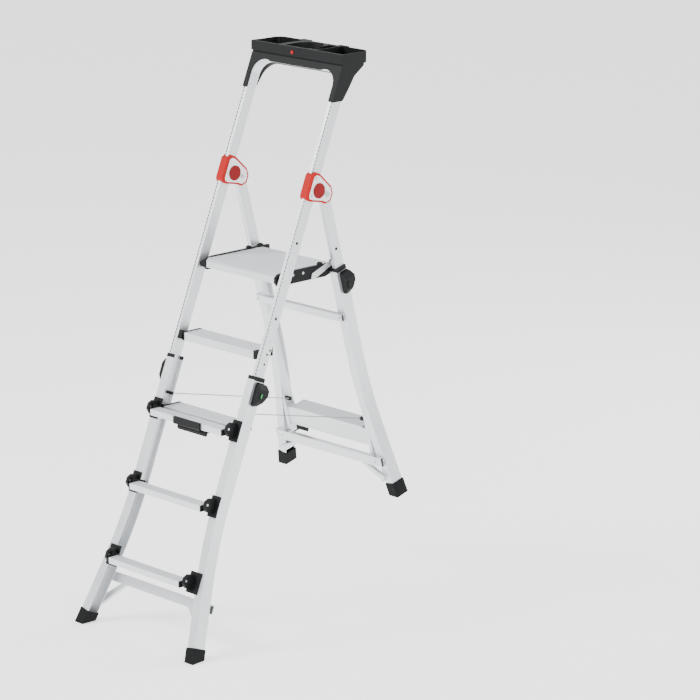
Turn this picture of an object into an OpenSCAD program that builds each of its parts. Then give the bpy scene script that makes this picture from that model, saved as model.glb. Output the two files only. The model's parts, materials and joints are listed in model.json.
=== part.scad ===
// Step ladder with a platform, a safety bow with a tool tray, and four telescoping legs.
// Millimetres, +Z up, X across the ladder, +Y towards the rear legs.
// Origin on the floor, in the middle between the front feet and the rear feet.

/* [Stance] */
// Lean of the front rails from upright, in degrees
lean_front = 21.8; // [21:0.1:23]
// Lean of the rear legs from upright, in degrees
lean_rear = 15.7; // [15:0.1:17]
// Distance along the front rails from the floor to the hinge
hinge_height = 1540; // [1530:1:1560]
// Distance of the hinge pin behind the front faces of the front rails
hinge_depth = 80; // [78:1:84]

/* [Inner rails] */
// Distance from the middle of the ladder to the outer faces of the inner rails
rail_half = 202; // [190:1:240]
// Width of an inner rail across the ladder
rail_w = 15; // [13:0.5:16]
// Depth of an inner rail from front to back
rail_d = 38; // [36:1:39]
// Wall of an inner rail
rail_wall = 1.8; // [1.4:0.1:2.4]
// Distance along the front rails from the floor to their lower ends
front_inner_end = 502; // [498:1:520]
// Distance from the hinge pin to the lower ends of the rear rails
rear_inner_end = 948; // [930:1:952]

/* [Outer rails] */
// Width of an outer rail across the ladder
outer_w = 32; // [31:1:34]
// Wall of an outer rail
outer_wall = 2.6; // [2:0.1:3]
// Gap between an inner rail and the flanges of its outer rail
flange_gap = 0.5; // [0.3:0.1:0.7]
// Gap between an inner rail and the web of its outer rail
web_gap = 1; // [0.5:0.1:1.5]
// Top ends of the front outer rails, along the rails from the floor
front_outer_top = 910; // [900:1:920]
// Distance from the hinge pin to the top ends of the rear outer rails
rear_outer_top = 270; // [268:1:276]
// Distance from the hinge pin to the soles of the rear feet
rear_sole = 1085.5; // [1080:0.5:1120]
// Height of the bend of the outer rails above the soles
bend_at = 512; // [500:1:520]
// Angle that the lower ends of the outer rails flare out by
flare = 11.1; // [8:0.1:12]
// Radius of the bend above the flare
flare_r = 1390; // [1200:10:1500]

/* [Steps] */
// Height between one step and the next
step_pitch = 230; // [228:1:232]
// Height of the top of the lowest step above the floor
first_step = 236; // [232:1:240]
// Thickness of the deep steps
deep_t = 26; // [20:1:28]
// Depth of the deep steps
deep_d = 75; // [68:1:80]
// Thickness of the narrow steps
narrow_t = 20; // [16:1:22]
// Depth of the narrow steps
narrow_d = 40; // [34:1:48]
// Clearance between the narrow steps and what they slide past
step_pass = 4; // [3:0.5:6]
// Wall of the step profiles
step_wall = 2; // [1.5:0.1:3]

/* [Platform] */
// Depth of the platform tread from front to back
tread_d = 251; // [230:1:258]
// Thickness of the platform tread
tread_t = 30; // [24:1:32]
// Height of the platform side plates
plate_h = 42; // [38:1:43]
// Length of the platform side plates
plate_l = 290; // [280:1:294]
// Thickness of the platform side plates
plate_t = 12; // [10:1:13]

/* [Hinges] */
// Width of a hinge housing across the ladder
hinge_w = 28.4; // [27:0.2:30]
// Radius of the hinge pins
pin_r = 6; // [5:0.5:8]
// Radius of the round badges on the hinges
badge_r = 25; // [20:1:26]
// Thickness of the hinge plates
hinge_plate_t = 2; // [1:0.5:2]

/* [Locks] */
// Radius of the lock bolts
bolt_r = 5; // [4:0.5:6]
// How far the lock bodies stand out from the rails
lock_out = 26; // [22:1:30]
// Height of the lock bodies
lock_h = 80; // [70:1:84]
// Distance of the lock bolts below the tops of the outer rails
bolt_drop = 44; // [40:1:46]

/* [Tray] */
// Height of the rim of the tray above the floor
tray_top = 1838; // [1832:1:1850]
// Depth of the tray from front to back
tray_d = 124; // [116:1:130]
// Height of the tray
tray_h = 36; // [34:1:38]
// Wall of the tray
tray_wall = 3; // [2:0.5:4]
// Distance that the front band of the tray stands out
band_out = 5; // [3:0.5:6]
// Inner radius of the bends of the safety bow
bow_r = 50; // [44:1:60]
// Distance of the underside of the bow from the floor, along the rails
bow_at = 1921; // [1915:1:1924]

/* [Bars and feet] */
// Height of the cross bars
bar_h = 28; // [24:1:30]
// Wall of the cross bars
bar_wall = 2; // [1.5:0.1:3]
// Distance of the front low bar from the floor, along the rails
front_bar_at = 175; // [170:1:180]
// Distance of the rear low bar from the hinge pin
rear_low_at = 957; // [954:1:962]
// Distance of the rear upper bar from the hinge pin
rear_upper_at = 431; // [428:1:434]
// Distance of the rear tread from the hinge pin
rear_tread_at = 881; // [878:1:884]
// Height of the rear tread
rear_tread_h = 66; // [56:1:68]
// Height of the feet
foot_h = 48; // [42:1:54]
// Wall of the feet
foot_wall = 3.5; // [3:0.5:5]

/* [Cords] */
// Diameter of the spreader cords
cord_d = 3; // [2:0.5:3.5]

/* [Hidden] */
$fn = 48;
tiny = 0.01;
far = 600;
fit = 0.3;

silver = "gainsboro";
black = "dimgray";
grey = "lightgray";
red = "firebrick";

// Across the ladder
rail_in = rail_half - rail_w;
web_in = rail_half + web_gap;
outer_out = web_in + outer_wall;
outer_in = outer_out - outer_w;
outer_mid = outer_out - outer_w / 2;
flange = flange_gap + outer_wall;
inboard = outer_in - 2.6;
plate_in = inboard - plate_t;

// Down the flared legs
bend_drop = flare_r * sin(flare);
bend_out = flare_r * (1 - cos(flare));
leg_lift = 26;
rear_leg_lift = 12;

// Along the rails
pitch_s = step_pitch / cos(lean_front);
pitch_r = step_pitch / cos(lean_rear);
pivot_d = rail_d / 2 + 1;
pivot_s = (first_step + 4 * step_pitch - 21) / cos(lean_front) + pivot_d * tan(lean_front);

// Where the hinge pin is, counted from under the front faces of the rails
hinge_y = hinge_height * sin(lean_front) + hinge_depth * cos(lean_front);
hinge_z = hinge_height * cos(lean_front) - hinge_depth * sin(lean_front);
front_edge = -7;
rear_edge = hinge_y + rear_sole * sin(lean_rear) + 26 * cos(lean_rear);
middle_y = (front_edge + rear_edge) / 2;

// Where the platform turns, and how far it reaches back
pivot_y = pivot_s * sin(lean_front) + pivot_d * cos(lean_front);
pivot_z = pivot_s * cos(lean_front) - pivot_d * sin(lean_front);
plate_front = -13;
plate_chamfer = 33;
plate_low = -16;
tread_front = -10;
stub_r = 5;
stub_at = 262;
stub_y = hinge_y + stub_at * sin(lean_rear);
stub_z = hinge_z - stub_at * cos(lean_rear);

// Hinge housings
cheek = (hinge_w - rail_w - 2 * fit) / 2;
hinge_out = rail_half + fit + cheek;
hinge_in = rail_in - fit - cheek;
pin_run = 0.05;
hinge_line = [[-6, -30], [-6, 40], [6, 54], [28, 54], [92, 30], [108, 10], [108, -14],
    [90, -30], [70, -30], [20, -40], [2, -40]];
hinge_plate_line = [[6, -24], [6, 38], [14, 46], [28, 46], [88, 24], [100, 8], [100, -12],
    [88, -24], [70, -24], [24, -33], [12, -33]];

step_half = rail_half - 36;
lug_in = outer_mid - 12;
lug_t = 12;
lug_tip = 46;

// The release lever under the rear tread
rear_lever_low = -rear_tread_h / 2;
rear_lever_y = 9;
rear_lever_z = rear_lever_low - 8;

// Lock bolts, in the middle of the rails' depth
bolt_tip = rail_half + 0.4;
bolt_run = 0.08;
knob_r = 9;
lock_line = [for (p = [[8, 0.45], [14, 0.5], [42, 0.5], [50, 0.28], [50, 0.03], [20, -0.5],
    [9, -0.45]]) [p[0], p[1] * lock_h]];

// Spreader cords: straight, from the clip on a front rail to the eye on a rear rail
cord_front = [169, 321, 731];
cord_rear = [169, 857, 610];
cord_rings = 40;
cord_sides = 8;

// ---- Places ----

// Front frame: X across, Y behind the rails' front faces, Z along the rails
module on_front() {
    translate([0, -middle_y, 0]) rotate([-lean_front, 0, 0]) children();
}

// Rear frame: the hinge pin at the origin, Z up along the rails
module on_rear() {
    translate([0, hinge_y - middle_y, hinge_z]) rotate([lean_rear, 0, 0]) children();
}

// Level, with the origin on the rails' front faces at that height
module at_height(top) {
    translate([0, top * tan(lean_front) - middle_y, top]) children();
}

// Level, with the origin on the pivot of the platform
module on_pivot() {
    translate([0, pivot_y - middle_y, pivot_z]) children();
}

// The bent leg below a rail whose sole is at the height given
module leg_place(sole) {
    translate([outer_mid + bend_out, 0, sole + bend_at - bend_drop])
        rotate([0, -flare, 0]) children();
}

module left() {
    mirror([1, 0, 0]) children();
}

module both_sides() {
    children();
    left() children();
}

// Runs a profile drawn in Y and Z along X
module along_x(from, to) {
    translate([from, 0, 0]) rotate([90, 0, 90]) linear_extrude(to - from) children();
}

// Runs a profile drawn in X and Z along Y
module along_y(from, to) {
    translate([0, to, 0]) rotate([90, 0, 0]) linear_extrude(to - from) children();
}

module bar_x(from, to, r) {
    translate([from, 0, 0]) rotate([0, 90, 0]) cylinder(h = to - from, r = r);
}

module bar_y(from, to, r) {
    translate([0, to, 0]) rotate([90, 0, 0]) cylinder(h = to - from, r = r);
}

module box(low, high) {
    translate(low) cube(high - low);
}

// ---- Inner frame ----

module rail_profile() {
    difference() {
        translate([rail_in, 0]) square([rail_w, rail_d]);
        translate([rail_in + rail_wall, rail_wall])
            square([rail_w - 2 * rail_wall, rail_d - 2 * rail_wall]);
        translate([rail_half - 4, -tiny]) square([1.4, 0.8]);
    }
}

module bow_shape() {
    centre = rail_in - bow_r;
    both_sides() translate([centre, 0, bow_at - bow_r]) rotate([90, 0, 0])
        rotate_extrude(angle = 90, $fn = 96) translate([-centre, 0]) mirror([0, 1])
            rail_profile();
    along_x(-centre, centre) translate([0, bow_at]) mirror([1, -1, 0])
        translate([-rail_in, 0]) rail_profile();
}

module rail_tube() {
    color(silver) on_front() difference() {
        union() {
            both_sides() translate([0, 0, front_inner_end])
                linear_extrude(bow_at - bow_r - front_inner_end) rail_profile();
            bow_shape();
        }
        both_sides() for (i = [0:2])
            translate([0, rail_d / 2, front_outer_top - bolt_drop + i * pitch_s])
                bar_x(rail_half - rail_wall - 1, rail_half + 1, bolt_r + 0.4);
    }
}

// The bow and its rails as one block, a little larger, for the cover to be cut by
module bow_room() {
    centre = rail_in - bow_r;
    along_y(-fit, rail_d + fit) union() {
        translate([-rail_half - fit, 1500])
            square([2 * (rail_half + fit), bow_at - bow_r - 1500]);
        translate([-centre, 1500]) square([2 * centre, bow_at + rail_w + fit - 1500]);
        both_sides() translate([centre, bow_at - bow_r])
            circle(r = bow_r + rail_w + fit, $fn = 96);
    }
}

// The opening under the bow. Its straight top edge hangs down by `drop`.
module bow_opening(drop) {
    centre = rail_in - bow_r;
    translate([-rail_in + fit, 1500]) square([2 * (rail_in - fit), bow_at - bow_r - 1500]);
    polygon([[-centre, 1500], [-centre, bow_at - fit], [-centre + 12, bow_at - fit - drop],
        [centre - 12, bow_at - fit - drop], [centre, bow_at - fit], [centre, 1500]]);
    both_sides() translate([centre, bow_at - bow_r]) circle(r = bow_r - fit, $fn = 96);
}

module bow_cover() {
    top = tray_top - tray_h;
    outline = [[-5, -108], [-5, 0], [tray_d - 30, 0], [96, -8], [66, -38], [56, -74],
        [44, -110], [40, -112], [0, -112]];
    color(black) difference() {
        at_height(top) along_x(-rail_half - 4, rail_half + 4)
            polygon([for (p = outline) [p[0] + p[1] * tan(lean_front), p[1]]]);
        on_front() bow_room();
        on_front() along_y(-30, 0) bow_opening(5);
        on_front() along_y(-fit, 200) bow_opening(0);
    }
}

module tray_outline(grow) {
    half = rail_half + 4 + grow;
    back = tray_d + grow;
    translate([-half, -grow]) square([2 * half, back - 20 + grow]);
    translate([-half + 30, -grow]) square([2 * half - 60, back + grow]);
    both_sides() translate([half - 30, back - 30]) circle(r = 30);
}

module tray() {
    low = 3;
    color(black) difference() {
        at_height(tray_top - tray_h) translate([0, -2, 0]) union() {
            linear_extrude(tray_h) tray_outline(0);
            translate([0, 0, 5]) linear_extrude(tray_h - 5)
                translate([-rail_half - 4 - band_out / 2, -band_out])
                    square([2 * rail_half + 8 + band_out, 30]);
            for (x = [-90, 78]) translate([x - 20, tray_d - 4, tray_h - 14])
                cube([40, 18, 14]);
        }
        at_height(tray_top - tray_h) translate([0, -2, low]) linear_extrude(tray_h) {
            intersection() {
                translate([-rail_half - 4 + tray_wall, 4]) square([112, far]);
                offset(delta = -tray_wall) tray_outline(0);
                difference() {
                    translate([-far, 0]) square([2 * far, far]);
                    translate([-14, 62]) circle(r = 62 + tray_wall, $fn = 96);
                }
            }
            translate([82, 4]) intersection() {
                square([rail_half + 4 - tray_wall - 82, tray_d - 4 - tray_wall]);
                translate([-82, -4]) offset(delta = -tray_wall) tray_outline(0);
            }
        }
        at_height(tray_top - tray_h) translate([-14, 60, low])
            cylinder(h = tray_h, r = 52, $fn = 96);
        at_height(tray_top - tray_h) translate([40, 10, low]) cube([38, 96, tray_h]);
        at_height(tray_top - tray_h) translate([-66, 4, tray_h - 10]) cube([106, 60, 20]);
        for (x = [-90, 78]) at_height(tray_top - tray_h)
            translate([x - 9, tray_d - 2, 0]) cube([18, 9, tray_h + 1]);
    }
}

module emblem() {
    color(red) at_height(tray_top - tray_h) translate([-18, -2 - band_out, tray_h / 2])
        bar_y(-2, 0, 6);
}

module front_plugs() {
    color(black) on_front() both_sides() union() {
        box([rail_in, 0, front_inner_end - 6], [rail_half, rail_d, front_inner_end]);
        box([rail_in + rail_wall + 0.1, rail_wall + 0.1, front_inner_end - 1],
            [rail_half - rail_wall - 0.1, rail_d - rail_wall - 0.1, front_inner_end + 20]);
    }
}

// ---- Hinges ----

module hinge_housing() {
    color(red) on_front() difference() {
        translate([0, 0, hinge_height]) along_x(hinge_in, hinge_out) polygon(hinge_line);
        box([rail_in - fit, 0, 1400], [rail_half + fit, 200, 1700]);
        translate([0, hinge_depth, hinge_height]) bar_x(hinge_in - 1, hinge_out + 1, pin_r + pin_run);
    }
}

module hinge_plates() {
    color(silver) on_front() both_sides() difference() {
        translate([0, 0, hinge_height]) union() {
            along_x(hinge_out, hinge_out + hinge_plate_t) polygon(hinge_plate_line);
            along_x(hinge_in - hinge_plate_t, hinge_in) polygon(hinge_plate_line);
        }
        translate([0, hinge_depth, hinge_height])
            bar_x(hinge_in - 5, hinge_out + 5, pin_r + pin_run);
    }
}

module hinge_badges() {
    color("maroon") on_front() translate([0, 42, hinge_height + 2]) both_sides() {
        bar_x(hinge_out + hinge_plate_t, hinge_out + hinge_plate_t + 2.5, badge_r);
        bar_x(hinge_in - hinge_plate_t - 2.5, hinge_in - hinge_plate_t, badge_r);
    }
}

module hinge_pins() {
    color("silver") on_front() translate([0, hinge_depth, hinge_height]) both_sides() {
        bar_x(hinge_in - hinge_plate_t - 3, hinge_out + hinge_plate_t + 0.1, pin_r);
        bar_x(hinge_out + hinge_plate_t + 0.1, hinge_out + hinge_plate_t + 3, pin_r + 3);
    }
}

module hinge_screws() {
    color("silver") on_front() both_sides()
        for (p = [[16, 36], [16, -22]]) translate([0, p[0], hinge_height + p[1]])
            bar_x(hinge_out + hinge_plate_t, hinge_out + hinge_plate_t + 1.6, 4);
}

// ---- Deep steps, on the inner frame ----

module step_tube(half, deep, thick, wall) {
    difference() {
        along_x(-half, half) translate([0, -thick]) square([deep, thick]);
        along_x(-half - 1, half + 1) difference() {
            translate([wall, wall - thick]) square([deep - 2 * wall, thick - 2 * wall]);
            translate([deep / 2 - wall / 2, -thick]) square([wall, thick]);
        }
    }
}

function step_top(n) = first_step + (5 - n) * step_pitch;

module deep_step(n) {
    color(silver) at_height(step_top(n)) translate([0, 1, 0])
        step_tube(plate_in + 2, deep_d, deep_t, step_wall);
}

module step_ends() {
    start = plate_in + 2;
    color(black) for (n = [2, 3]) both_sides() union() {
        at_height(step_top(n)) translate([0, 1, 0]) {
            along_x(start, inboard) translate([0, -deep_t - 1])
                square([deep_d + 2, deep_t + 2]);
            along_x(start - 14, start) translate([step_wall + 0.1, step_wall + 0.1 - deep_t])
                square([deep_d / 2 - 1.5 * step_wall - 0.2, deep_t - 2 * step_wall - 0.2]);
        }
        on_front() translate([0, 0, (step_top(n) - deep_t / 2) / cos(lean_front) + 8])
            box([inboard - 1, 0.5, -16], [rail_in, rail_d - 2, 12]);
    }
}

// ---- Platform ----

module platform_pivots() {
    color(black) on_front() translate([0, pivot_d, pivot_s]) both_sides() {
        bar_x(inboard + fit, rail_in, 11);
        bar_x(plate_in - 2, inboard + fit + tiny, pin_r - 1);
    }
}

module platform_tread() {
    half = plate_in;
    color(grey) on_pivot() difference() {
        along_x(-half, half) polygon([[tread_front, 23 - tread_t], [tread_front, 14], [0, 23],
            [tread_front + tread_d, 23], [tread_front + tread_d, 23 - tread_t]]);
        along_x(-half - 1, half + 1) for (i = [0:3])
            translate([12 + i * (tread_d - 22) / 4, 23 - tread_t + step_wall])
                square([(tread_d - 22) / 4 - step_wall, tread_t - 2 * step_wall]);
        both_sides() bar_x(half - 4, half + 1, pin_r);
    }
}

module platform_plate() {
    color(black) on_pivot() difference() {
        union() {
            along_x(plate_in, inboard) polygon([[plate_front, plate_low + 12],
                [plate_front + 10, plate_low], [plate_front + plate_l - 70, plate_low],
                [plate_front + plate_l, plate_low + 22],
                [plate_front + plate_l, plate_low + plate_h],
                [plate_front + plate_chamfer, plate_low + plate_h],
                [4, 22], [plate_front, 14]]);
            for (y = [186, 240]) translate([0, y, plate_low + plate_h])
                bar_x(plate_in, inboard, 9);
        }
        bar_x(plate_in - 1, inboard + 1, pin_r - 1 + pin_run);
    }
}

// Arms on the outer faces of the side plates, resting on the stubs of the rear rails
module platform_arms() {
    reach = stub_y - pivot_y;
    drop = stub_z - pivot_z + stub_r + 0.3;
    color(silver) on_pivot() both_sides() along_x(inboard, outer_in - fit)
        polygon([[reach - 100, -12], [reach - 90, -18], [reach - 10, drop],
            [reach + 10, drop], [reach + 10, drop + 14], [reach - 20, drop + 14],
            [reach - 96, 4]]);
}

module platform_rivets() {
    color("silver") on_pivot() both_sides() for (y = [60, 105])
        translate([0, y, 12]) bar_x(inboard, inboard + 1.5, 4.5);
}

// ---- Rear legs, inner rails ----

module rear_rail() {
    color(silver) on_rear() difference() {
        union() {
            translate([0, -rail_d / 2, -rear_inner_end])
                linear_extrude(rear_inner_end) rail_profile();
            bar_x(rail_in, rail_half, rail_d / 2);
        }
        bar_x(rail_in - 1, rail_half + 1, pin_r + pin_run);
        for (i = [-1:2]) translate([0, 0, -rear_outer_top - bolt_drop - (i + 0.5) * pitch_r])
            bar_x(rail_half - rail_wall - 1, rail_half + 1, bolt_r + 0.4);
    }
}

module rear_tread() {
    front = -15;
    color(silver) on_rear() translate([0, 0, -rear_tread_at]) union() {
        along_x(-plate_in - 8, plate_in + 8) difference() {
            union() {
                translate([front, -rear_tread_h / 2]) square([30, rear_tread_h]);
                translate([front, 0]) square([60, rear_tread_h / 2]);
            }
            translate([front + bar_wall, bar_wall - rear_tread_h / 2])
                square([30 - 2 * bar_wall, rear_tread_h - 2 * bar_wall]);
            translate([front + 30, bar_wall])
                square([30 - bar_wall, rear_tread_h / 2 - 2 * bar_wall]);
        }
        both_sides() box([plate_in + 8, front, -rear_tread_h / 2 + 4],
            [rail_in, 15, rear_tread_h / 2 - 4]);
    }
}

module rear_plugs() {
    color(black) on_rear() translate([0, -rail_d / 2, -rear_inner_end]) both_sides() union() {
        box([rail_in, 0, -6], [rail_half, rail_d, 0]);
        box([rail_in + rail_wall + 0.1, rail_wall + 0.1, -1],
            [rail_half - rail_wall - 0.1, rail_d - rail_wall - 0.1, 20]);
    }
}

module rear_stubs() {
    color("silver") on_rear() translate([0, 0, -stub_at]) both_sides()
        bar_x(inboard + fit, rail_in, stub_r);
}

// ---- Outer rails, with the flared legs ----

module channel() {
    difference() {
        translate([outer_in, -flange]) square([outer_w, rail_d + 2 * flange]);
        translate([outer_in - 1, -flange_gap])
            square([web_in - outer_in + 1, rail_d + 2 * flange_gap]);
    }
}

module outer_rail(top, sole, lift) {
    leg = (bend_at - bend_drop - lift) / cos(flare);
    difference() {
        union() {
            translate([0, 0, sole + bend_at]) linear_extrude(top - sole - bend_at) channel();
            translate([outer_mid + flare_r, rail_d, sole + bend_at]) rotate([-90, 0, 180])
                rotate_extrude(angle = flare, $fn = 180)
                    translate([flare_r + outer_mid, 0]) mirror([1, 0]) channel();
            leg_place(sole) translate([-outer_mid, 0, -leg]) linear_extrude(leg) channel();
        }
        translate([0, rail_d / 2, top - bolt_drop])
            bar_x(web_in - 1, outer_out + 1, bolt_r + bolt_run);
    }
}

module collar(top) {
    translate([0, 0, top]) linear_extrude(12) difference() {
        translate([outer_in, -flange]) square([outer_w, rail_d + 2 * flange]);
        translate([outer_in - 1, -fit]) square([rail_half + fit - outer_in + 1, rail_d + 2 * fit]);
    }
    translate([0, 0, top - 2]) linear_extrude(14) translate([outer_out, -flange])
        square([2, rail_d + 2 * flange]);
}

// A cross bar in front of, or behind, the outer rails
module cross_bar(half, low, thick, height) {
    difference() {
        along_x(-half, half) translate([low, -height / 2]) square([thick, height]);
        along_x(-half - 1, half + 1) translate([low + bar_wall, bar_wall - height / 2])
            square([thick - 2 * bar_wall, height - 2 * bar_wall]);
    }
}

module strut(low, thick, top, drop) {
    both_sides() along_y(low, low + thick) translate([outer_mid, top])
        polygon([[-40, 0], [-20, 0], [60, 16 - drop], [48, -drop - 4]]);
}

module foot(sole, lift) {
    leg = (bend_at - bend_drop - lift) / cos(flare);
    difference() {
        leg_place(sole) box([-outer_w / 2 - foot_wall, -flange - foot_wall, -leg - 50],
            [outer_w / 2 + foot_wall, rail_d + flange + foot_wall, foot_h - lift - leg]);
        leg_place(sole) box([-outer_w / 2 - 0.1, -flange - 0.1, -leg],
            [outer_w / 2 + 0.1, rail_d + flange + 0.1, far]);
        children();
    }
}

// ---- Locks ----

module lock_body(top) {
    mid = top - bolt_drop;
    difference() {
        intersection() {
            translate([0, 0, mid]) along_x(outer_out, outer_out + lock_out) polygon(lock_line);
            along_y(0, 60) polygon([[outer_out, mid - lock_h / 2],
                [outer_out + lock_out * 0.6, mid - lock_h / 2 + 6],
                [outer_out + lock_out, mid - lock_h / 4],
                [outer_out + lock_out, mid + lock_h / 4],
                [outer_out + lock_out * 0.6, mid + lock_h / 2 - 4],
                [outer_out, mid + lock_h / 2]]);
        }
        translate([0, rail_d / 2, mid]) bar_x(outer_out - 1, far, bolt_r + bolt_run);
        translate([0, rail_d / 2, mid])
            bar_x(outer_out + lock_out - 11, far, knob_r + 0.5);
    }
}

module bolt(top) {
    translate([0, rail_d / 2, top - bolt_drop]) {
        bar_x(bolt_tip, outer_out + lock_out - 10, bolt_r);
        bar_x(outer_out + lock_out - 10, outer_out + lock_out + 2, knob_r);
    }
}

// ---- Front outer frame ----

module narrow_step(n) {
    t = narrow_t;
    back = -(step_pass + t * sin(lean_front)) / cos(lean_front);
    color(silver) at_height(step_top(n)) translate([0, back - narrow_d, 0])
        step_tube(step_half, narrow_d, t, step_wall);
}

// A step end piece: a plate on the rail, a rib beside it, and a socket for the step
module step_lug(n) {
    t = narrow_t;
    back = -(step_pass + t * sin(lean_front)) / cos(lean_front);
    mid = step_top(n) / cos(lean_front) - 12;
    at_height(step_top(n)) translate([0, back - narrow_d, 0]) {
        along_x(step_half, step_half + 5) translate([0, -t]) square([narrow_d, t]);
        along_x(step_half - 14, step_half) translate([step_wall + 0.1, step_wall + 0.1 - t])
            square([narrow_d / 2 - 1.5 * step_wall - 0.2, t - 2 * step_wall - 0.2]);
    }
    on_front() {
        translate([0, 0, mid]) box([step_half + 2, -flange - 5, -33],
            [n == 5 ? outer_mid + 26 : outer_out, -flange, 36]);
        difference() {
            along_x(lug_in, lug_in + lug_t) polygon([[-flange - 4, mid - 24], [-30, mid - 22],
                [-lug_tip, mid - 9], [-lug_tip, mid + 10], [-34, mid + 22],
                [-flange - 4, mid + 26]]);
            translate([0, 7 - lug_tip, mid + 1]) bar_x(lug_in - 1, lug_in + lug_t + 1, 3);
        }
        translate([0, -24, mid + 2]) box([step_half + 2, -10, -9], [lug_in + 1, 24 - flange - 0.2, 9]);
    }
}

module release_cover() {
    t = narrow_t;
    back = -(step_pass + t * sin(lean_front)) / cos(lean_front);
    color(black) at_height(step_top(3)) translate([10, back - narrow_d, 0])
        along_x(-62, 62) polygon([[-6, -t], [-6, 1.5], [3, 1.5], [3, 0], [0, 0],
            [0, -t], [24, -t], [24, -t - 4], [-2, -t - 4]]);
}

module release_lever() {
    t = narrow_t;
    back = -(step_pass + t * sin(lean_front)) / cos(lean_front);
    color(black) at_height(step_top(3)) translate([22, back - narrow_d, -t - 8.5]) union() {
        along_x(-66, 66) polygon([[6, 2.5], [29, 2.5], [29, -2.5], [16, -4], [13, -13],
            [7, -13], [4, -4]]);
        translate([0, 29, 0]) bar_x(-66, 66, 3);
    }
}

// ---- Spreader cords ----

function ring_point(i) = cord_front + (cord_rear - cord_front) * i / (cord_rings - 1);

module cord() {
    way = cord_rear - cord_front;
    along = way / norm(way);
    across = cross(along, [0, 0, 1]) / norm(cross(along, [0, 0, 1]));
    up = cross(across, along);
    points = [for (i = [0:cord_rings - 1]) for (k = [0:cord_sides - 1])
        ring_point(i) + cord_d / 2 * (cos(360 * k / cord_sides) * across
            + sin(360 * k / cord_sides) * up)];
    last = (cord_rings - 1) * cord_sides;
    faces = concat([[for (k = [0:cord_sides - 1]) k]],
        [[for (k = [0:cord_sides - 1]) last + cord_sides - 1 - k]],
        [for (i = [0:cord_rings - 2]) for (k = [0:cord_sides - 1])
            let (a = i * cord_sides + k, b = i * cord_sides + (k + 1) % cord_sides)
                [b, a, a + cord_sides, b + cord_sides]]);
    translate([0, -middle_y, 0]) polyhedron(points, faces);
}

// Runs along a cord from its front end
module along_cord() {
    way = cord_rear - cord_front;
    translate([cord_front[0], cord_front[1] - middle_y, cord_front[2]])
        rotate([-90 + atan2(way[2], way[1]), 0, 0]) children();
}

// Clips on the inner faces of the rails, with blind bores for the ends of the cords
module cord_clips() {
    color(black) both_sides() difference() {
        translate([cord_front[0], cord_front[1] - middle_y, cord_front[2]])
            rotate([-lean_front, 0, 0]) box([-4, -5, -5], [rail_in - cord_front[0], 5, 5]);
        along_cord() translate([0, 0, -fit]) cylinder(h = 40, r = cord_d / 2 + fit);
    }
}

module cord_eyes() {
    length = norm(cord_rear - cord_front);
    color(black) both_sides() difference() {
        translate([cord_rear[0], cord_rear[1] - middle_y, cord_rear[2]])
            rotate([lean_rear, 0, 0]) box([-4, -5, -5], [rail_in - cord_rear[0], 5, 5]);
        along_cord() translate([0, 0, length + fit - 40]) cylinder(h = 40, r = cord_d / 2 + fit);
    }
}

// ---- Frames made of the shapes above ----

module front_outer() {
    color(silver) on_front() outer_rail(front_outer_top, 0, leg_lift);
}

module front_collars() {
    color(black) on_front() both_sides() collar(front_outer_top);
}

module step_lugs() {
    color(black) for (n = [3, 4, 5]) both_sides() step_lug(n);
}

module front_low_bar() {
    color(silver) on_front() translate([0, 0, front_bar_at])
        cross_bar(outer_mid + 50.4, rail_d + flange, 22, bar_h + 2);
}

module front_struts() {
    color(silver) on_front() strut(rail_d + flange, 12, front_bar_at - bar_h / 2 - 1, 82);
}

module front_feet() {
    color(black) both_sides() difference() {
        on_front() foot(0, leg_lift);
        translate([-far, -far, -far]) cube([2 * far, 2 * far, far]);
    }
}

module front_locks() {
    color(black) on_front() both_sides() lock_body(front_outer_top);
}

module front_bolt() {
    color(black) on_front() bolt(front_outer_top);
}

module front_rivets() {
    color("silver") on_front() both_sides() {
        for (n = [2, 3]) for (p = [[24, 0], [24, -32], [32, 15]])
            translate([0, p[0], step_top(n) / cos(lean_front) + p[1]])
                bar_x(rail_half, rail_half + 0.2, 4);
        translate([0, rail_d / 2, front_inner_end + 14]) bar_x(rail_half, rail_half + 0.2, 4);
    }
}

module front_rivets_low() {
    color("silver") on_front() both_sides() {
        for (n = [3, 4, 5]) for (x = [lug_in - 0.5, lug_in + lug_t])
            translate([x, 7 - lug_tip, step_top(n) / cos(lean_front) - 11]) bar_x(0, 0.5, 3.8);
    }
}

module rear_outer() {
    color(silver) on_rear() translate([0, -rail_d / 2, 0])
        outer_rail(-rear_outer_top, -rear_sole, rear_leg_lift);
}

module rear_collars() {
    color(black) on_rear() translate([0, -rail_d / 2, 0]) both_sides()
        collar(-rear_outer_top);
}

module rear_upper_bar() {
    color(silver) on_rear() translate([0, -rail_d / 2, -rear_upper_at])
        cross_bar(outer_mid + 9.4, -flange - 14, 14, bar_h - 2);
}

module rear_low_bar() {
    color(silver) on_rear() translate([0, -rail_d / 2, -rear_low_at])
        cross_bar(outer_mid + 57.4, -flange - 14, 14, bar_h + 6);
}

module rear_struts() {
    color(silver) on_rear() translate([0, -rail_d / 2, 0])
        strut(-flange - 12, 12, -rear_low_at - bar_h / 2 - 3, 52);
}

module rear_feet() {
    color(black) on_rear() translate([0, -rail_d / 2, 0]) both_sides()
        foot(-rear_sole, rear_leg_lift)
            translate([-far, -far, -rear_sole - 2 * far]) cube(2 * far);
}

module rear_locks() {
    color(black) on_rear() translate([0, -rail_d / 2, 0]) both_sides()
        lock_body(-rear_outer_top);
}

module rear_bolt() {
    color(black) on_rear() translate([0, -rail_d / 2, 0]) bolt(-rear_outer_top);
}

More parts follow.
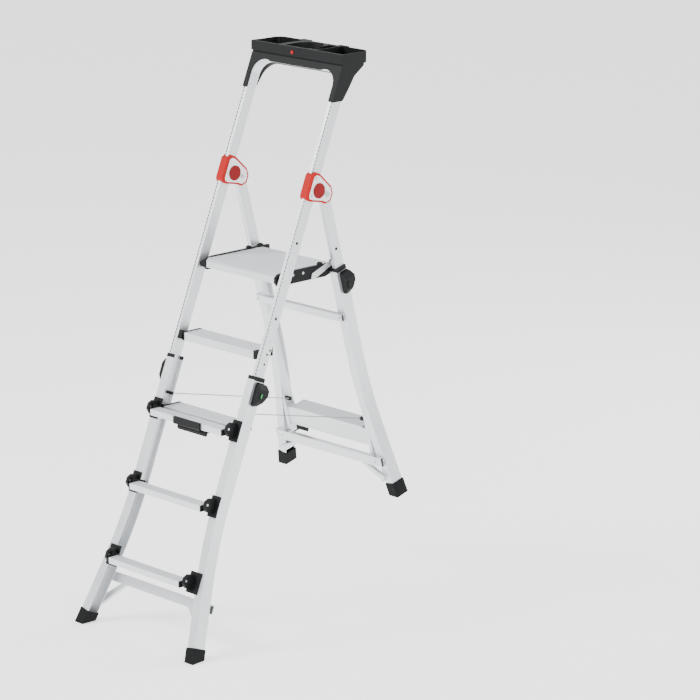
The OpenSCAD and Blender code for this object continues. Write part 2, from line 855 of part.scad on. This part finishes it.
// A hook-shaped lever under the rear tread, at its left end
// A bracket under the tread, whose two cheeks carry the barrel of the lever
module rear_release_cover() {
    color(black) on_rear() translate([0, 0, -rear_tread_at]) difference() {
        union() {
            translate([0, 0, rear_lever_low]) box([-170, -12, -3], [-112, 15, 0]);
            for (x = [-170, -115.7]) along_x(x, x + 3.7)
                translate([rear_lever_y, rear_lever_z]) union() {
                    circle(r = 5.5);
                    translate([-5.5, 0]) square([11, 5]);
                }
        }
        translate([0, rear_lever_y, rear_lever_z]) bar_x(-171, -111, 3 + bolt_run);
    }
}

// The lever's lip swings down about its barrel
module rear_release() {
    color(black) on_rear() translate([0, rear_lever_y, rear_lever_z - rear_tread_at]) union() {
        along_x(-166, -116) polygon([[-20, 3], [0, 3], [0, -3], [-10, -2], [-14, -13],
            [-20, -11]]);
        bar_x(-170, -112, 3);
    }
}

module rear_rivets() {
    color("silver") on_rear() translate([0, -rail_d / 2, 0]) both_sides() {
        translate([190, 0, -rear_upper_at]) bar_y(-flange - 15.5, -flange - 14, 4);
        translate([220, 0, -rear_low_at]) bar_y(-flange - 15.5, -flange - 14, 4);
    }
}

// ---- Nodes ----

rail_tube();
bow_cover();
tray();
emblem();
left() hinge_housing();  // hinge_housing_left
hinge_housing();  // hinge_housing_right
hinge_plates();
hinge_badges();
hinge_pins();
hinge_screws();
deep_step(2);  // deep_step_upper
deep_step(3);  // deep_step_lower
step_ends();
platform_pivots();
front_plugs();
cord_clips();
front_rivets();
color(black) left() cord();  // cord_left
color(black) cord();  // cord_right
platform_tread();
left() platform_plate();  // platform_plate_left
platform_plate();  // platform_plate_right
platform_arms();
platform_rivets();
left() rear_rail();  // rear_rail_left
rear_rail();  // rear_rail_right
rear_tread();
rear_plugs();
rear_stubs();
rear_release();
rear_release_cover();
cord_eyes();
left() rear_outer();  // rear_outer_left
rear_outer();  // rear_outer_right
rear_collars();
rear_upper_bar();
rear_low_bar();
rear_struts();
rear_feet();
rear_locks();
left() rear_bolt();  // rear_bolt_left
rear_bolt();  // rear_bolt_right
rear_rivets();
left() front_outer();  // front_outer_left
front_outer();  // front_outer_right
front_collars();
narrow_step(3);  // step_3
narrow_step(4);  // step_4
narrow_step(5);  // step_5
step_lugs();
front_low_bar();
front_struts();
front_feet();
front_locks();
left() front_bolt();  // front_bolt_left
front_bolt();  // front_bolt_right
release_cover();
release_lever();
front_rivets_low();
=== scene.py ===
import json
import math

import bmesh
import bpy
from mathutils import Matrix, Vector


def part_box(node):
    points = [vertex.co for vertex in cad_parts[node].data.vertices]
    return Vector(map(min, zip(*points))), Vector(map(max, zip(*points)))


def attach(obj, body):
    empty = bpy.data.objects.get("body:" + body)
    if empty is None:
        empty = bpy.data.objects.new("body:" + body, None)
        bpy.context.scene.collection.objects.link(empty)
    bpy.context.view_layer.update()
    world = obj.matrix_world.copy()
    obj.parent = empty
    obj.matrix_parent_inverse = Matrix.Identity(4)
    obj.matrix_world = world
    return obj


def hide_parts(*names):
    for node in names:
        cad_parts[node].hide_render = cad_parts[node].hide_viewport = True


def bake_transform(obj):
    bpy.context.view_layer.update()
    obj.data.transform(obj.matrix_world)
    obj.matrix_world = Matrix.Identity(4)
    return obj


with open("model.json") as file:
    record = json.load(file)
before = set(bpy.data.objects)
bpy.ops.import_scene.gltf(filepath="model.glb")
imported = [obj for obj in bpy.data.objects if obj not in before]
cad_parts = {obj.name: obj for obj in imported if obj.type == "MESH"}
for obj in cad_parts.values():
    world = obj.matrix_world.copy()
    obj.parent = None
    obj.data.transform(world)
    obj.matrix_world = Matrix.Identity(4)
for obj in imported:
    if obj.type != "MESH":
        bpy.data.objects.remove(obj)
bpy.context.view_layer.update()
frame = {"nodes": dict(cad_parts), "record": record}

nodes = frame["nodes"]

# ---------------------------------------------------------------------------
# The room: a pale studio floor that glows a little, a soft key light from the
# upper left, a large fill from the right, and a long lens above the platform.
# ---------------------------------------------------------------------------
yaw, lift, tilt = math.radians(44.507), math.radians(14.663), math.radians(0.512)
aim = Vector((0.0, -0.129, 0.9))
back = Vector((math.sin(yaw) * math.cos(lift), -math.cos(yaw) * math.cos(lift), math.sin(lift)))
level = Vector((math.cos(yaw), math.sin(yaw), 0.0))
above = back.cross(level)
side = math.cos(tilt) * level + math.sin(tilt) * above
top = -math.sin(tilt) * level + math.cos(tilt) * above
lens = bpy.data.cameras.new("camera")
lens.sensor_width = 36.0
lens.lens = 158.7
away, beside, over = 9.863, 0.436, 0.002
camera = bpy.data.objects.new("camera", lens)
camera.matrix_world = Matrix.Translation(aim + away * back + beside * side + over * top) @ Matrix(
    (side, top, back)).transposed().to_4x4()
bpy.context.scene.collection.objects.link(camera)
bpy.context.scene.camera = camera


def linear(code):
    """An sRGB hex value as the linear colour that the shaders take."""
    parts = [int(code[i:i + 2], 16) / 255 for i in (1, 3, 5)]
    return [c / 12.92 if c <= 0.04045 else ((c + 0.055) / 1.055) ** 2.4 for c in parts] + [1.0]


def add(tree, kind, settings=(), links=()):
    """A node with its settings (sockets by name or number, others as attributes) and its links in."""
    made = tree.nodes.new(kind)
    for key, value in dict(settings).items():
        if isinstance(key, int) or key in made.inputs:
            made.inputs[key].default_value = value
        else:
            setattr(made, key, value)
    for key, source in dict(links).items():
        tree.links.new(source, made.inputs[key])
    return made


def finish_named(name):
    """An empty material with its surface shader and its output."""
    material = bpy.data.materials.new(name)
    material.use_nodes = True
    tree = material.node_tree
    tree.nodes.clear()
    shader = tree.nodes.new("ShaderNodeBsdfPrincipled")
    out = tree.nodes.new("ShaderNodeOutputMaterial")
    tree.links.new(shader.outputs[0], out.inputs["Surface"])
    return material, tree, shader


def light(name, place, size, power, towards=(0, 0, 0.9)):
    lamp = bpy.data.lights.new(name, "AREA")
    lamp.shape = "DISK"
    lamp.size = size
    lamp.energy = power
    thing = bpy.data.objects.new(name, lamp)
    thing.location = place
    thing.rotation_euler = (Vector(towards) - Vector(place)).to_track_quat("-Z", "Y").to_euler()
    bpy.context.scene.collection.objects.link(thing)


light("key", (-2.6, -4.4, 4.8), 2.6, 360)
light("fill", (5.2, -1.6, 2.6), 3.4, 120)
light("rim", (0.8, 4.2, 3.6), 2.6, 160)
world = bpy.data.worlds.new("studio")
world.use_nodes = True
world.node_tree.nodes["Background"].inputs["Color"].default_value = linear("#F6F7F8")
world.node_tree.nodes["Background"].inputs["Strength"].default_value = 1.4
bpy.context.scene.world = world

floor_size = 60
bpy.ops.mesh.primitive_plane_add(size=floor_size, location=(0, 0, 0))
floor = bpy.context.object
floor.name = "studio_floor"
paper, tree, shader = finish_named("matt_backdrop_paper")
shader.inputs["Base Color"].default_value = linear("#FBFBFB")
shader.inputs["Roughness"].default_value = 0.9
shader.inputs["Emission Color"].default_value = linear("#FFFFFF")
shader.inputs["Emission Strength"].default_value = 0.8
floor.data.materials.append(paper)

# ---------------------------------------------------------------------------
# Spreader cords: braided polyester, 3 mm thick, drawn taut between a clip on
# each front rail and an eye on each rear rail when the ladder is open.
# ---------------------------------------------------------------------------
cord_size = 0.003
cord_front = Vector((0.169, -0.157976, 0.731))
cord_rear = Vector((0.169, 0.378024, 0.610))
cord_rings, cord_sides = 40, 8

braid, tree, shader = finish_named("braided_polyester")
# A 1 mm braid, drawn as crossing bands that catch the light in turn
where = add(tree, "ShaderNodeTexCoord")
bands = [add(tree, "ShaderNodeTexWave", {"Scale": 160.0, "Distortion": 0.6, "bands_direction": way},
             {"Vector": where.outputs["Object"]}) for way in ("DIAGONAL", "Y")]
weave = add(tree, "ShaderNodeMath", {"operation": "MULTIPLY"},
            {0: bands[0].outputs["Fac"], 1: bands[1].outputs["Fac"]})
tone = add(tree, "ShaderNodeMix", {"data_type": "RGBA", 6: linear("#6E7073"), 7: linear("#A9ABAE")},
           {0: weave.outputs[0]})
relief = add(tree, "ShaderNodeBump", {"Strength": 0.5, "Distance": 0.0004}, {"Height": weave.outputs[0]})
tree.links.new(tone.outputs[2], shader.inputs["Base Color"])
tree.links.new(relief.outputs[0], shader.inputs["Normal"])
shader.inputs["Roughness"].default_value = 0.85
shader.inputs["Sheen Weight"].default_value = 0.2


def mesh_piece(name, shape, material):
    """A finished piece from a bmesh that already lies in its place."""
    bmesh.ops.recalc_face_normals(shape, faces=shape.faces)
    mesh = bpy.data.meshes.new(name)
    shape.to_mesh(mesh)
    shape.free()
    mesh.materials.append(material)
    piece = bpy.data.objects.new(name, mesh)
    bpy.context.scene.collection.objects.link(piece)
    return piece


def tube(shape, path, radius, sides):
    """Adds a closed round tube along a path of points."""
    rings = []
    for i, point in enumerate(path):
        ahead = (path[min(i + 1, len(path) - 1)] - path[max(i - 1, 0)]).normalized()
        across = ahead.cross(Vector((0, 0, 1))).normalized()
        up = across.cross(ahead)
        rings.append([shape.verts.new(point + radius * (
            math.cos(2 * math.pi * k / sides) * across + math.sin(2 * math.pi * k / sides) * up))
            for k in range(sides)])
    for low, high in zip(rings, rings[1:]):
        for k in range(sides):
            shape.faces.new((low[k], low[(k + 1) % sides], high[(k + 1) % sides], high[k]))
    shape.faces.new(rings[0])
    shape.faces.new(rings[-1])


for hand, sign in (("left", -1), ("right", 1)):
    start = Vector((sign * cord_front.x, cord_front.y, cord_front.z))
    end = Vector((sign * cord_rear.x, cord_rear.y, cord_rear.z))
    path = [start.lerp(end, i / (cord_rings - 1)) for i in range(cord_rings)]
    shape = bmesh.new()
    tube(shape, path, cord_size / 2, cord_sides)
    cord = mesh_piece("spreader_cord_" + hand, shape, braid)
    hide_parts("cord_" + hand)
    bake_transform(cord)

# ---------------------------------------------------------------------------
# Rails and bow: extruded aluminium tube, bent over the top in one length and
# satin anodised. The die leaves faint lines along the length.
# ---------------------------------------------------------------------------
lean_front, lean_rear = math.radians(21.8), math.radians(15.7)
anodised = {}
for run, turn in (("front", (lean_front, 0, 0)), ("rear", (-lean_rear, 0, 0)),
                  ("across", (0, math.pi / 2, 0))):
    metal, tree, shader = finish_named("anodised_extruded_aluminium_" + run)
    # Die lines about 0.4 mm apart, drawn 2 mm apart so that they show
    where = add(tree, "ShaderNodeTexCoord")
    aligned = add(tree, "ShaderNodeMapping", {"Rotation": turn}, {"Vector": where.outputs["Object"]})
    drawn = add(tree, "ShaderNodeMapping", {"Scale": (500.0, 500.0, 6.0)}, {"Vector": aligned.outputs[0]})
    lines = add(tree, "ShaderNodeTexNoise", {"Scale": 1.0, "Detail": 3.0}, {"Vector": drawn.outputs[0]})
    clouds = add(tree, "ShaderNodeTexNoise", {"Scale": 9.0, "Detail": 4.0},
                 {"Vector": where.outputs["Object"]})
    tone = add(tree, "ShaderNodeMix", {"data_type": "RGBA", 6: linear("#C9CCCF"), 7: linear("#E4E6E7")},
               {0: lines.outputs["Fac"]})
    rough = add(tree, "ShaderNodeMapRange", {"To Min": 0.34, "To Max": 0.5}, {"Value": clouds.outputs["Fac"]})
    edge = add(tree, "ShaderNodeBevel", {"Radius": 0.0008})
    relief = add(tree, "ShaderNodeBump", {"Strength": 0.25, "Distance": 0.00012},
                 {"Height": lines.outputs["Fac"], "Normal": edge.outputs[0]})
    tree.links.new(tone.outputs[2], shader.inputs["Base Color"])
    tree.links.new(rough.outputs[0], shader.inputs["Roughness"])
    tree.links.new(relief.outputs[0], shader.inputs["Normal"])
    shader.inputs["Metallic"].default_value = 0.9
    anodised[run] = metal


def coat(material, *names):
    """Gives CAD nodes a material, and leaves their shape as it is."""
    for name in names:
        nodes[name].data.materials.clear()
        nodes[name].data.materials.append(material)


coat(anodised["front"], "rail_tube", "front_outer_left", "front_outer_right")
coat(anodised["rear"], "rear_rail_left", "rear_rail_right", "rear_outer_left", "rear_outer_right")


def set_of_bars(name, count, pitch, size, material):
    """Bars in a row along X from the origin, made by a node tree whose inputs are their sizes."""
    tree = bpy.data.node_groups.new(name, "GeometryNodeTree")
    for label, kind, value in (("Count", "NodeSocketInt", count), ("Pitch", "NodeSocketFloat", pitch),
                               ("Size", "NodeSocketVector", size)):
        tree.interface.new_socket(label, in_out="INPUT", socket_type=kind).default_value = value
    tree.interface.new_socket("Geometry", in_out="OUTPUT", socket_type="NodeSocketGeometry")
    given = add(tree, "NodeGroupInput")
    step = add(tree, "ShaderNodeCombineXYZ", {}, {"X": given.outputs["Pitch"]})
    row = add(tree, "GeometryNodeMeshLine", {}, {"Count": given.outputs["Count"], "Offset": step.outputs[0]})
    bar = add(tree, "GeometryNodeMeshCube", {}, {"Size": given.outputs["Size"]})
    placed = add(tree, "GeometryNodeInstanceOnPoints", {},
                 {"Points": row.outputs[0], "Instance": bar.outputs["Mesh"]})
    solid = add(tree, "GeometryNodeRealizeInstances", {}, {0: placed.outputs[0]})
    dressed = add(tree, "GeometryNodeSetMaterial", {"Material": material}, {"Geometry": solid.outputs[0]})
    add(tree, "NodeGroupOutput", {}, {0: dressed.outputs[0]})
    holder = bpy.data.objects.new(name, bpy.data.meshes.new(name))
    bpy.context.scene.collection.objects.link(holder)
    grown = holder.modifiers.new("row", "NODES")
    grown.node_group = tree
    for item in tree.interface.items_tree:
        if item.in_out == "INPUT":
            grown[item.identifier] = {"Count": count, "Pitch": pitch, "Size": size}[item.name]
    bpy.context.view_layer.update()
    ready = holder.evaluated_get(bpy.context.evaluated_depsgraph_get())
    mesh = bpy.data.meshes.new_from_object(ready)
    bpy.data.objects.remove(holder)
    return mesh


def joined(name, meshes, material):
    """One piece out of several placed meshes."""
    shape = bmesh.new()
    for mesh in meshes:
        shape.from_mesh(mesh)
    return mesh_piece(name, shape, material)


front_to_middle = 0.478976


def front_place(x, depth, along):
    """Where a point of the front frame lies: depth behind the rails' faces, along them from the floor."""
    return Vector((x, along * math.sin(lean_front) + depth * math.cos(lean_front) - front_to_middle,
                   along * math.cos(lean_front) - depth * math.sin(lean_front)))


# Painted shade: near-black dashes laid in the groove of each front rail, standing in for the shadow in the
# gap between the outer rail and its lip
groove_shade, tree, shader = finish_named("groove_painted_shade")
where = add(tree, "ShaderNodeTexCoord")
grain = add(tree, "ShaderNodeTexNoise", {"Scale": 300.0, "Detail": 2.0}, {"Vector": where.outputs["Object"]})
# Near black, the colour of the painted shade in the groove
tone = add(tree, "ShaderNodeMix", {"data_type": "RGBA", 6: linear("#0C0D0E"), 7: linear("#1A1B1C")},
           {0: grain.outputs["Fac"]})
tree.links.new(tone.outputs[2], shader.inputs["Base Color"])
shader.inputs["Roughness"].default_value = 0.7
dash_count, dash_pitch, dash_size = 78, 0.012, (0.0085, 0.003, 0.0006)
dash_x, dash_depth, dash_start = 0.2003, 0.0001, 0.93
dashes = []
for sign in (-1, 1):
    run = set_of_bars("dashes", dash_count, dash_pitch, dash_size, groove_shade)
    run.transform(Matrix.Translation(front_place(sign * dash_x, dash_depth, dash_start))
                  @ Matrix.Rotation(-lean_front, 4, "X")
                  @ Matrix.Rotation(-math.pi / 2, 4, "Y") @ Matrix.Rotation(math.pi / 2, 4, "X"))
    dashes.append(run)
groove = joined("rail_groove_shade_dashes", dashes, groove_shade)
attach(groove, "front_frame")

# ---------------------------------------------------------------------------
# Steps and platform: box extrusions with a ribbed tread, cut to length. The
# ribs run across the ladder and give the soles their grip.
# ---------------------------------------------------------------------------
coat(anodised["across"], "deep_step_upper", "deep_step_lower", "step_3", "step_4", "step_5",
     "platform_tread")

rib_wide, rib_high, rib_short, rib_proud = 0.002, 0.0008, 0.004, 0.0003


def tread_ribs(name, node, body, pitch, inset):
    """Raised ribs on top of a tread, a little shorter than it is."""
    low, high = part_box(node)
    count = int((high.y - low.y - 2 * inset) / pitch) + 1
    rows = set_of_bars(name, count, pitch, (rib_wide, high.x - low.x - rib_short, rib_high),
                       anodised["across"])
    first = (low.y + high.y) / 2 - (count - 1) * pitch / 2
    rows.transform(Matrix.Translation((0, first, high.z + rib_proud)) @ Matrix.Rotation(math.pi / 2, 4, "Z"))
    ribs = joined(name, [rows], anodised["across"])
    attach(ribs, body)


for name, body in (("deep_step_upper", "front_frame"), ("deep_step_lower", "front_frame"),
                   ("step_3", "front_legs"), ("step_4", "front_legs"), ("step_5", "front_legs")):
    tread_ribs(name + "_ribs", name, body, 0.005, 0.003)
tread_ribs("platform_ribs", "platform_tread", "platform", 0.0065, 0.006)

# ---------------------------------------------------------------------------
# Bars and struts: thin-walled rectangular aluminium tube, sawn and riveted to
# the outer rails. The ends stay open.
# ---------------------------------------------------------------------------
coat(anodised["across"], "front_low_bar", "rear_upper_bar", "rear_low_bar", "rear_tread",
     "front_struts", "rear_struts", "platform_arms")

# ---------------------------------------------------------------------------
# Moulded parts: glass-filled nylon in anthracite, straight out of the mould,
# with soft edges and a fine spark-eroded grain.
# ---------------------------------------------------------------------------
def moulded(name, dark, pale, grain_mm, rough, depth):
    """A plastic, rubber or lacquer with a fine grain, faint clouds in its tone, and soft edges."""
    material, tree, shader = finish_named(name)
    where = add(tree, "ShaderNodeTexCoord")
    grain = add(tree, "ShaderNodeTexNoise", {"Scale": 1000.0 / grain_mm, "Detail": 2.0},
                {"Vector": where.outputs["Object"]})
    clouds = add(tree, "ShaderNodeTexNoise", {"Scale": 14.0, "Detail": 5.0},
                 {"Vector": where.outputs["Object"]})
    mixed = add(tree, "ShaderNodeMath", {"operation": "MULTIPLY_ADD", 1: 0.35},
                {0: grain.outputs["Fac"], 2: clouds.outputs["Fac"]})
    tone = add(tree, "ShaderNodeMix", {"data_type": "RGBA", 6: linear(dark), 7: linear(pale)},
               {0: mixed.outputs[0]})
    gloss = add(tree, "ShaderNodeMapRange", {"To Min": rough - 0.06, "To Max": rough + 0.1},
                {"Value": clouds.outputs["Fac"]})
    edge = add(tree, "ShaderNodeBevel", {"Radius": 0.0006})
    relief = add(tree, "ShaderNodeBump", {"Strength": 0.35, "Distance": depth},
                 {"Height": grain.outputs["Fac"], "Normal": edge.outputs[0]})
    shader.inputs["Specular IOR Level"].default_value = 0.16
    tree.links.new(tone.outputs[2], shader.inputs["Base Color"])
    tree.links.new(gloss.outputs[0], shader.inputs["Roughness"])
    tree.links.new(relief.outputs[0], shader.inputs["Normal"])
    return material


# Near-black and half matt, so that only the edges catch the light
nylon = moulded("glass_filled_nylon_anthracite", "#080909", "#131415", 1.2, 0.5, 0.00025)
body_of = {node: body for body, members in frame["record"]["behaviour"]["bodies"].items()
           for node in members}

flat_enough, crease = math.radians(1.0), math.radians(35)


def softened(node, material, radius):
    """A moulding in a CAD node's place, with every sharp edge rounded."""
    shape = bmesh.new()
    shape.from_mesh(nodes[node].data)
    bmesh.ops.remove_doubles(shape, verts=shape.verts, dist=1e-6)
    bmesh.ops.dissolve_limit(shape, angle_limit=flat_enough, verts=shape.verts, edges=shape.edges)
    piece = mesh_piece(node + "_moulding", shape, material)
    bevel = piece.modifiers.new("edges", "BEVEL")
    bevel.width = radius
    bevel.segments = 2
    bevel.limit_method = "ANGLE"
    bevel.angle_limit = crease
    bevel.use_clamp_overlap = True
    bpy.context.view_layer.update()
    ready = piece.evaluated_get(bpy.context.evaluated_depsgraph_get())
    mesh = bpy.data.meshes.new_from_object(ready)
    piece.modifiers.clear()
    old = piece.data
    piece.data = mesh
    bpy.data.meshes.remove(old)
    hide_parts(node)
    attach(piece, body_of[node])
    return piece


for node, radius in (("bow_cover", 0.0015), ("tray", 0.001), ("step_ends", 0.001), ("step_lugs", 0.001),
                     ("front_collars", 0.0004), ("rear_collars", 0.0004), ("front_plugs", 0.0008),
                     ("rear_plugs", 0.0008), ("platform_plate_left", 0.002), ("platform_plate_right", 0.002),
                     ("platform_pivots", 0.001), ("release_cover", 0.0008), ("release_lever", 0.0012),
                     ("cord_clips", 0.001), ("cord_eyes", 0.001), ("front_locks", 0.0025),
                     ("rear_locks", 0.0025), ("rear_release", 0.0008),
                     ("rear_release_cover", 0.0006)):
    softened(node, nylon, radius)

# ---------------------------------------------------------------------------
# Feet: soft rubber shoes, moulded in one piece and pressed over the ends of
# the legs. They are the darkest and the most matt parts of the ladder.
# ---------------------------------------------------------------------------
rubber = moulded("moulded_rubber", "#070808", "#101112", 1.6, 0.72, 0.0004)
for node in ("front_feet", "rear_feet"):
    softened(node, rubber, 0.002)

# ---------------------------------------------------------------------------
# Hinges: two red nylon housings, each between pressed aluminium plates, with
# a plain round badge on both sides. A steel pin carries the rear rail.
# ---------------------------------------------------------------------------
# A strong red with a soft shine, and a deeper one under clear lacquer for the badges
red = moulded("glossy_nylon_red", "#980201", "#AE0603", 2.0, 0.42, 0.0001)
badge_red = moulded("lacquered_badge_red", "#6E0408", "#80070C", 2.0, 0.35, 0.00005)
# Bright and only faintly grained, a shade whiter than the rails
plate, tree, shader = finish_named("pressed_aluminium_plate")
where = add(tree, "ShaderNodeTexCoord")
grain = add(tree, "ShaderNodeTexNoise", {"Scale": 420.0, "Detail": 3.0}, {"Vector": where.outputs["Object"]})
tone = add(tree, "ShaderNodeMix", {"data_type": "RGBA", 6: linear("#D9D9DB"), 7: linear("#F1F1F2")},
           {0: grain.outputs["Fac"]})
relief = add(tree, "ShaderNodeBump", {"Strength": 0.2, "Distance": 0.0001}, {"Height": grain.outputs["Fac"]})
tree.links.new(tone.outputs[2], shader.inputs["Base Color"])
tree.links.new(relief.outputs[0], shader.inputs["Normal"])
shader.inputs["Metallic"].default_value = 0.7
shader.inputs["Roughness"].default_value = 0.4
for node in ("hinge_housing_left", "hinge_housing_right"):
    softened(node, red, 0.0016)
softened("emblem", red, 0.0006)
softened("hinge_plates", plate, 0.0005)
softened("hinge_badges", badge_red, 0.0008)

# ---------------------------------------------------------------------------
# Rivets, screws and pins: turned or headed steel. Most are plated with zinc,
# and the rivets on the sides of the front rails with black zinc.
# ---------------------------------------------------------------------------
# A grey shine broken up by the crystals of the zinc, about 4 mm across
steel, tree, shader = finish_named("zinc_plated_steel")
where = add(tree, "ShaderNodeTexCoord")
spots = add(tree, "ShaderNodeTexVoronoi", {"Scale": 260.0}, {"Vector": where.outputs["Object"]})
tone = add(tree, "ShaderNodeMix", {"data_type": "RGBA", 6: linear("#A6A8AB"), 7: linear("#C9CBCD")},
           {0: spots.outputs["Distance"]})
tree.links.new(tone.outputs[2], shader.inputs["Base Color"])
shader.inputs["Metallic"].default_value = 1.0
shader.inputs["Roughness"].default_value = 0.3
coat(steel, "hinge_pins", "hinge_screws", "front_rivets_low", "rear_rivets", "platform_rivets",
     "rear_stubs")
# Black with a dull metal sheen, so that each head shows as a dot
black_zinc = moulded("black_zinc_plated_steel", "#0A0A0B", "#151617", 1.0, 0.4, 0.00005)
coat(black_zinc, "front_rivets")

# ---------------------------------------------------------------------------
# Lock bolts: nylon knobs on the ends of the bolts, and on each front knob a
# small green window that shows when the bolt is home.
# ---------------------------------------------------------------------------
for node in ("front_bolt_left", "front_bolt_right", "rear_bolt_left", "rear_bolt_right"):
    softened(node, nylon, 0.0008)

# Clear green, glossy and smooth
signal = moulded("green_polycarbonate", "#1F8A3C", "#2FA650", 2.0, 0.3, 0.00002)
window_round, window_straight, window_sides = 0.0022, 0.005, 24
window_depths, knob_depth, knob_along = (0.2332, 0.2339), 0.019, 0.866
for hand, sign in (("left", -1), ("right", 1)):
    outline = []
    for k in range(window_sides):
        turn = 2 * math.pi * k / window_sides
        tall = window_straight if math.sin(turn) >= 0 else -window_straight
        outline.append((window_round * math.cos(turn), tall + window_round * math.sin(turn)))
    shape = bmesh.new()
    rims = [[shape.verts.new(front_place(sign * x, knob_depth + across, knob_along + along))
             for across, along in outline] for x in window_depths]
    for k in range(window_sides):
        after = (k + 1) % window_sides
        shape.faces.new((rims[0][k], rims[0][after], rims[1][after], rims[1][k]))
    shape.faces.new(rims[0])
    shape.faces.new(rims[1])
    window = mesh_piece("lock_window_" + hand, shape, signal)
    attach(window, "front_lock_" + hand)
